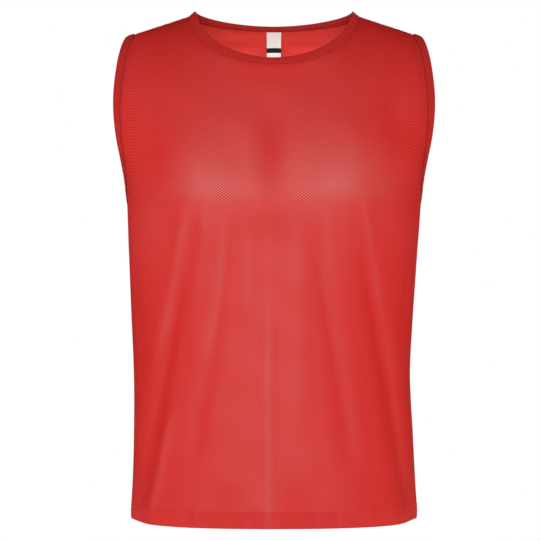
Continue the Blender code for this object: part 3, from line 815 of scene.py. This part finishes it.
# ---- stitches
def stitch_tree():
    """Geometry Nodes: one short rounded length of thread for each pitch along a line of edges."""
    tree = bpy.data.node_groups.new("stitch_line", "GeometryNodeTree")
    sizes = dict(Pitch=STITCH_PITCH, Length=STITCH_LENGTH, Thread=THREAD, Slant=STITCH_SLANT)
    tree.interface.new_socket("Line", in_out="INPUT", socket_type="NodeSocketGeometry")
    for name, value in sizes.items():
        socket = tree.interface.new_socket(name, in_out="INPUT", socket_type="NodeSocketFloat")
        socket.default_value = value
    tree.interface.new_socket("Finish", in_out="INPUT", socket_type="NodeSocketMaterial")
    tree.interface.new_socket("Stitches", in_out="OUTPUT", socket_type="NodeSocketGeometry")
    given = add_node(tree, "NodeGroupInput").outputs

    line = add_node(tree, "GeometryNodeMeshToCurve", {"Mesh": given["Line"]})
    spacing = {"Curve": line, "Length": given["Pitch"]}
    places = add_node(tree, "GeometryNodeResampleCurve", spacing, mode="LENGTH")
    ball = add_node(tree, "GeometryNodeMeshUVSphere", {"Segments": 6, "Rings": 5, "Radius": 0.5})
    thread = given["Thread"]
    size = add_node(tree, "ShaderNodeCombineXYZ", {"X": given["Length"], "Y": thread, "Z": thread})
    stitch = add_node(tree, "GeometryNodeTransform", {"Geometry": ball, "Scale": size})

    along = add_node(tree, "GeometryNodeInputTangent")
    facing = add_node(tree, "GeometryNodeInputNamedAttribute", {"Name": "facing"}, data_type="FLOAT_VECTOR")
    turned = add_node(
        tree, "FunctionNodeAxesToRotation", {"Primary Axis": along, "Secondary Axis": facing},
        primary_axis="X", secondary_axis="Z",
    )
    least = add_node(tree, "ShaderNodeMath", {0: given["Slant"], 1: -1.0}, operation="MULTIPLY")
    slant = add_node(tree, "FunctionNodeRandomValue", {"Min": least, "Max": given["Slant"], "Seed": 7})
    slant_angles = add_node(tree, "ShaderNodeCombineXYZ", {"Z": slant.outputs[1]})
    slant_turn = add_node(tree, "FunctionNodeEulerToRotation", {"Euler": slant_angles})
    rotation = add_node(
        tree, "FunctionNodeRotateRotation", {"Rotation": turned, "Rotate By": slant_turn},
        rotation_space="LOCAL",
    )
    row = add_node(
        tree, "GeometryNodeInstanceOnPoints", {"Points": places, "Instance": stitch, "Rotation": rotation}
    )
    real = add_node(tree, "GeometryNodeRealizeInstances", {"Geometry": row})
    dyed = add_node(tree, "GeometryNodeSetMaterial", {"Geometry": real, "Material": given["Finish"]})
    add_node(tree, "NodeGroupOutput", {"Stitches": dyed})
    return tree


def stitch_piece(name, tree, lines, finish, **sizes):
    """A plain mesh of stitches along lines: each line is its points, their facing, and if it closes."""
    points, facing, edges = [], [], []
    for line, normals, closes in lines:
        first = len(points)
        points.extend(line.tolist())
        facing.extend(normals.tolist())
        edges.extend((first + k, first + k + 1) for k in range(len(line) - 1))
        if closes:
            edges.append((len(points) - 1, first))
    mesh = bpy.data.meshes.new(name + "_line")
    mesh.from_pydata(points, edges, [])
    layer = mesh.attributes.new("facing", "FLOAT_VECTOR", "POINT")
    layer.data.foreach_set("vector", np.array(facing, dtype=np.float32).ravel())
    guide = add_object(name + "_line", mesh)
    modifier = guide.modifiers.new("stitches", "NODES")
    modifier.node_group = tree
    values = dict(sizes, Finish=finish)
    for item in tree.interface.items_tree:
        if item.in_out == "INPUT" and item.name in values:
            modifier[item.identifier] = values[item.name]
    graph = bpy.context.evaluated_depsgraph_get()
    made = bpy.data.meshes.new_from_object(guide.evaluated_get(graph))
    made.name = name
    made.shade_smooth()
    bpy.data.objects.remove(guide)
    return add_object(name, made)


def hem_lines(form):
    """The two needle rows of a panel's hem, on its outer face."""
    columns = np.arange(COLUMNS + 1)
    lines = []
    for height in HEM_LINES:
        row = np.interp(HEM + height, form["heights"], np.arange(len(form["heights"])))
        rows = np.full(COLUMNS + 1, row)
        normals = unit(on_grid(form["normals"], rows, columns))
        lines.append((on_grid(form["outer"], rows, columns) + normals * THREAD_LIFT, normals, False))
    return lines


def band_lines(band):
    """One row of stitches through a binding, near its sewn edge, on both faces."""
    lines = []
    for side in (1, -1):
        line = on_band(band, BAND_STITCH, side * (BAND_THICK / 2 * BAND_PINCH + THREAD_LIFT))
        lines.append((line, band["normals"] * side, True))
    return lines


def label_line(back):
    """The row of white stitches that holds the label's upper end."""
    across = (LABEL_WIDTH / 2 - LABEL_STITCH_INSET) * np.linspace(-1, 1, LABEL_LINE_POINTS)
    drops = np.full(LABEL_LINE_POINTS, LABEL_DROP + LABEL_STITCH_DROP)
    points, inward = label_places(back, across, drops)
    return [(points + inward * (LABEL_GAP + LABEL_THICK + THREAD_LIFT), inward, False)]


# ---- materials
def linear_colour(code):
    """Linear RGBA from an sRGB hex code."""
    parts = [int(code[i:i + 2], 16) / 255 for i in (0, 2, 4)]
    return [c / 12.92 if c <= 0.04045 else ((c + 0.055) / 1.055) ** 2.4 for c in parts] + [1.0]


def feed(tree, node, inputs):
    """Gives a node its inputs: values, sockets, or nodes that feed them from their first output."""
    for key, value in inputs.items():
        if isinstance(value, bpy.types.Node):
            value = value.outputs[0]
        if isinstance(value, bpy.types.NodeSocket):
            tree.links.new(value, node.inputs[key])
        else:
            node.inputs[key].default_value = value


def add_node(tree, kind, inputs=None, **settings):
    """Adds a node with its settings and its inputs."""
    node = tree.nodes.new(kind)
    for key, value in settings.items():
        setattr(node, key, value)
    feed(tree, node, inputs or {})
    return node


def new_material(name):
    material = bpy.data.materials.new(name)
    material.use_nodes = True
    return material, material.node_tree


def surface(tree, colour, roughness, height=None, strength=1.0, depth=0.0):
    """Gives a material its colour, its roughness and a fine relief, with its depth in metres."""
    inputs = {"Base Color": colour, "Roughness": roughness}
    if height is not None:
        bump = {"Height": height, "Strength": strength, "Distance": depth}
        inputs["Normal"] = add_node(tree, "ShaderNodeBump", bump)
    feed(tree, tree.nodes["Principled BSDF"], inputs)


def cloth_place(tree):
    """The place on the cloth in metres, and its X and Y apart."""
    place = add_node(tree, "ShaderNodeUVMap", uv_map="cloth")
    return place, add_node(tree, "ShaderNodeSeparateXYZ", {0: place}).outputs


def ribs(tree, distance, pitch, wave="COSINE"):
    """Even ribs of a pitch in metres, from -1 to 1."""
    turn = add_node(tree, "ShaderNodeMath", {0: distance, 1: math.tau / pitch}, operation="MULTIPLY")
    return add_node(tree, "ShaderNodeMath", {0: turn}, operation=wave)


def bird_eye_knit(name, yarn, painted_sheen_colour, eyelet, depth, slack, yarn_taut, eyelet_taut):
    """Polyester bird-eye mesh, warp knitted: staggered rows of small eyelets, 5 mm apart.

    The eye sees a fine diamond grain of darker dots in a bright, slightly glossy red. The dots are the
    knit's real eyelets, whose dark colour is painted shade inside the holes. Where the knit is taut the
    dots are clear, and in patches a paler colour is mixed into the yarn as a painted sheen. The dots are
    almost closed where it hangs slack, and it loses its shine where it is bunched or brushed.
    slack, yarn_taut and eyelet_taut are the roughness of each.
    """
    eyelet_pitch = 0.0050      # from eyelet to eyelet along a row, m
    row_pitch = 0.00374        # two rows, one of them shifted by half a pitch, m
    patch_size = 0.0714286     # of the knit's slow unevenness, m
    material, tree = new_material(name)
    place, way = cloth_place(tree)
    taut, painted_sheen, matt = (
        add_node(tree, "ShaderNodeAttribute", attribute_name=key).outputs["Fac"]
        for key in ("taut", "painted_sheen", "matt")
    )
    rows = {0: ribs(tree, way["X"], eyelet_pitch), 1: ribs(tree, way["Y"], row_pitch)}
    lattice = add_node(tree, "ShaderNodeMath", rows, operation="MULTIPLY")
    patch = add_node(tree, "ShaderNodeTexNoise", {"Vector": place, "Scale": 1 / patch_size, "Detail": 1.0})
    uneven = add_node(
        tree, "ShaderNodeMapRange",
        {"Value": patch, "From Min": 0.38, "From Max": 0.62, "To Min": 0.75, "To Max": 1.0},
    )
    strength = add_node(tree, "ShaderNodeMath", {0: taut, 1: uneven}, operation="MULTIPLY")
    dots = add_node(tree, "ShaderNodeMath", {0: lattice, 1: strength}, operation="MULTIPLY")
    share = add_node(tree, "ShaderNodeMapRange", {"Value": dots, "From Min": -1.0, "From Max": 1.0})
    # Painted sheen: a paler colour mixed into the yarn where it is asked for, standing in for highlights.
    yarns = {0: painted_sheen, 6: linear_colour(yarn), 7: linear_colour(painted_sheen_colour)}
    ground = add_node(tree, "ShaderNodeMix", yarns, data_type="RGBA").outputs[2]
    # The eyelets are the knit's own pattern; their dark colour is painted shade inside the holes.
    dotted = {0: share, 6: ground, 7: linear_colour(eyelet)}
    colour = add_node(tree, "ShaderNodeMix", dotted, data_type="RGBA").outputs[2]
    grain = add_node(tree, "ShaderNodeMapRange", {"Value": share, "To Min": yarn_taut, "To Max": eyelet_taut})
    dull = add_node(tree, "ShaderNodeMix", {0: strength, 2: slack, 3: grain})
    brushed = add_node(tree, "ShaderNodeMix", {0: matt, 2: dull, 3: 1.0})
    surface(tree, colour, brushed, dots, 1.0, -depth)
    return material


def rib_binding(name, colour, roughness):
    """Fine interlock binding, knitted: close ribs across the strip, plainer than the mesh."""
    rib_pitch = 0.0011         # m
    material, tree = new_material(name)
    along = cloth_place(tree)[1]["X"]
    surface(tree, linear_colour(colour), roughness, ribs(tree, along, rib_pitch), 0.5, 0.00006)
    return material


def woven_satin(name, ground, band, roughness):
    """Damask-woven label satin: smooth white with fine crosswise wefts and one plain dark band."""
    band_middle = 0.0285       # below the label's upper end, m
    band_half = 0.0037
    weft_pitch = 0.0009        # coarser than the real 0.2 mm, so that it shows, m
    material, tree = new_material(name)
    drop = cloth_place(tree)[1]["Y"]
    from_middle = add_node(tree, "ShaderNodeMath", {0: drop, 1: band_middle}, operation="SUBTRACT")
    distance = add_node(tree, "ShaderNodeMath", {0: from_middle}, operation="ABSOLUTE")
    in_band = add_node(tree, "ShaderNodeMath", {0: distance, 1: band_half}, operation="LESS_THAN")
    banded = {0: in_band, 6: linear_colour(ground), 7: linear_colour(band)}
    colour = add_node(tree, "ShaderNodeMix", banded, data_type="RGBA").outputs[2]
    surface(tree, colour, roughness, ribs(tree, drop, weft_pitch, "SINE"), 0.4, 0.00004)
    return material


def spun_thread(name, colour, roughness):
    """Spun polyester sewing thread: matt, with a fine twist that catches a little light."""
    twist_pitch = 0.00038462   # m
    material, tree = new_material(name)
    place = add_node(tree, "ShaderNodeTexCoord").outputs["Object"]
    twist = add_node(tree, "ShaderNodeTexNoise", {"Vector": place, "Scale": 1 / twist_pitch, "Detail": 1.0})
    surface(tree, linear_colour(colour), roughness, twist, 0.5, 0.0001)
    return material


# MESH_FACE's third colour is a painted sheen, a paler yarn in place of highlights; its eyelet colour is
# painted shade inside the knit's holes.
MESH_FACE = bird_eye_knit(
    "bird_eye_polyester_knitted", yarn="EA2D28", painted_sheen_colour="EA5D56", eyelet="610806",
    depth=0.00007, slack=0.50, yarn_taut=0.33, eyelet_taut=0.80,
)
MESH_REVERSE = bird_eye_knit(
    "bird_eye_polyester_reverse", yarn="E43C34", painted_sheen_colour="E43C34", eyelet="D4342D",
    depth=0.00003, slack=0.60, yarn_taut=0.58, eyelet_taut=0.62,
)
BINDING = rib_binding("interlock_binding_knitted", "A61812", roughness=0.95)
LABEL = woven_satin("damask_label_woven", "F4F3F0", "17161A", roughness=0.42)
RED_THREAD = spun_thread("polyester_thread_spun_red", "B4211B", roughness=0.7)
WHITE_THREAD = spun_thread("polyester_thread_spun_white", "ECEAE6", roughness=0.7)


# ---- camera, light and floor
def make_camera():
    camera = add_object("camera", bpy.data.cameras.new("camera"))
    camera.location = CAMERA
    camera.rotation_euler = (math.pi / 2, 0.0, 0.0)
    camera.data.lens = camera.data.sensor_width * -CAMERA.y / FRAME_WIDTH
    bpy.context.scene.camera = camera


def make_light(name, place, size, power, glossy):
    """A soft panel that faces the garment; only a glossy one shows in the cloth's sheen."""
    light = bpy.data.lights.new(name, "AREA")
    light.shape = "RECTANGLE"
    light.size, light.size_y = size
    light.energy = power
    lamp = add_object(name, light)
    lamp.visible_glossy = glossy
    lamp.location = place
    lamp.rotation_mode = "QUATERNION"
    lamp.rotation_quaternion = (Vector(LIT_MIDDLE) - Vector(place)).to_track_quat("-Z", "Y")


def make_studio():
    """Soft lights round the garment, and a white world that only the camera sees."""
    world = bpy.data.worlds.new("studio")
    world.use_nodes = True
    feed(world.node_tree, world.node_tree.nodes["Background"], {"Color": (1, 1, 1, 1), "Strength": 1.0})
    world.cycles_visibility.diffuse = False
    world.cycles_visibility.glossy = False
    bpy.context.scene.world = world
    bpy.context.scene.view_settings.view_transform = "Standard"
    for light in LIGHTS:
        make_light(**light)


def make_floor():
    bpy.ops.mesh.primitive_circle_add(vertices=96, radius=1.7, fill_type="NGON", location=(0, 0, -1.0))
    floor = bpy.context.object
    floor.name = "floor"
    material, tree = new_material("painted_floor_matt")
    surface(tree, linear_colour("F2F2F0"), 0.9)
    floor.data.materials.append(material)


# ---- the garment
def dress(piece, stitches, slot, node, **sheet):
    """Puts a cloth piece and its stitches on the garment, in the place of the piece's solid."""
    for part in (stitches, piece):
        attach(part, "root")
    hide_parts(node)


def make_garment():
    front = panel_form(FRONT)
    back = panel_form(BACK)
    tree = stitch_tree()
    for name, form in (("front", front), ("back", back)):
        stitches = stitch_piece(name + "_hem_stitches", tree, hem_lines(form), RED_THREAD)
        piece = panel_piece(name + "_cloth", form, [MESH_FACE, MESH_REVERSE])
        cut = dict(flat=PANEL_CUT, area=PANEL_AREA)
        dress(piece, stitches, "mesh_knit", name + "_panel", held="hung", **cut)
    bands = dict(
        neck_binding=neck_band(front, back),
        armhole_binding_left=armhole_band(front, back, 0),
        armhole_binding_right=armhole_band(front, back, -1),
    )
    for name, band in bands.items():
        stitches = stitch_piece(name + "_stitches", tree, band_lines(band), RED_THREAD)
        piece = band_piece(name + "_cloth", band, BINDING)
        cut = (2 * (band["widths"].mean() + BINDING_LAP) + BAND_THICK / 2, band["length"][-1])
        dress(piece, stitches, "binding_knit", name, held="folded", flat=cut)
    sizes = dict(Pitch=LABEL_STITCH_PITCH, Length=LABEL_STITCH_LENGTH)
    stitches = stitch_piece("label_stitches", tree, label_line(back), WHITE_THREAD, **sizes)
    piece = label_piece("neck_label_cloth", back, LABEL)
    dress(piece, stitches, "label_satin", "neck_label", held="hung", flat=(LABEL_WIDTH, LABEL_LENGTH))


make_camera()
make_studio()
make_floor()
make_garment()
